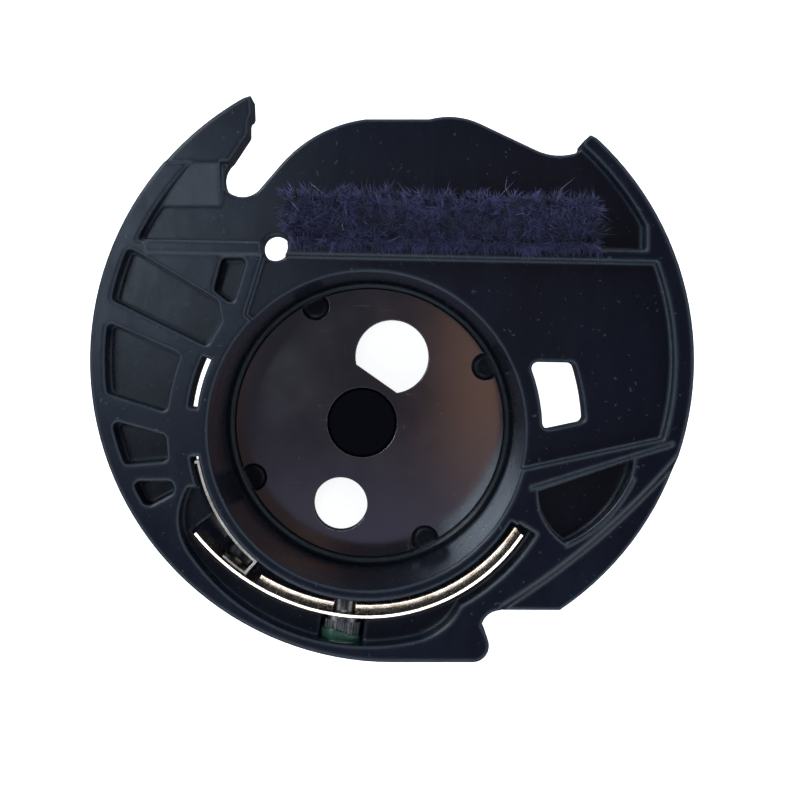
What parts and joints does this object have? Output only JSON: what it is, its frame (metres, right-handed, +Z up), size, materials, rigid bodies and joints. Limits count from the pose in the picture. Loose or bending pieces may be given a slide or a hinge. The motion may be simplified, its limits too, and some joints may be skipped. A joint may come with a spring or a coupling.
{
  "type": "drop-in bobbin case",
  "caption": "Drop-in bobbin case for a horizontal rotary hook: eccentric cup, horned flange, steel floor plate, tension leaf and pile strip.",
  "frame": {"origin": "on the bobbin axis at the foot of the cup's straight wall", "axes": "+Z up the bobbin axis out of the cup's mouth, +Y towards the pile strip, +X to the side of the sight window"},
  "size_m": [0.0425, 0.0399, 0.0152],
  "materials": {
    "black_moulding": "fine satin moulding, blue-black",
    "polished_plate": "polished, dark reflections",
    "ferrite": "matt ground face",
    "spring_steel": "bright rolled strip",
    "screw_steel": "blackened, bright on the crests",
    "insert_brass": "turned",
    "green_sealant": "dried drop",
    "adhesive": "film",
    "backing_weave": "tight weave",
    "pile": "dense cut pile"
  },
  "bodies": {
    "case": {"case_body": "black_moulding", "floor_plate": "polished_plate", "magnet": "ferrite", "thread_guide": "spring_steel", "mount_screw": "screw_steel", "mount_insert": "insert_brass", "tension_insert": "insert_brass", "brush_adhesive": "adhesive", "brush_backing": "backing_weave", "brush_pile": "pile"},
    "leaf": {"tension_leaf": "spring_steel"},
    "screw": {"tension_screw": "screw_steel", "threadlock_dab": "green_sealant"}
  },
  "joints": [
    {"name": "leaf_flex", "type": "hinge", "parent": "case", "child": "leaf", "pos_m": [-0.00968, -0.00982, 0.0076], "axis": [0, 0, 1], "range_deg": [0, 1], "stiffness_Nm_per_rad": 0.05, "springref_deg": -1.15},
    {"name": "tension_screw_turn", "type": "hinge", "parent": "case", "child": "screw", "pos_m": [-0.0018, -0.01388, 0.0099], "axis": [-0.1288, -0.9917, 0], "range_deg": [-180, 180]}
  ]
}
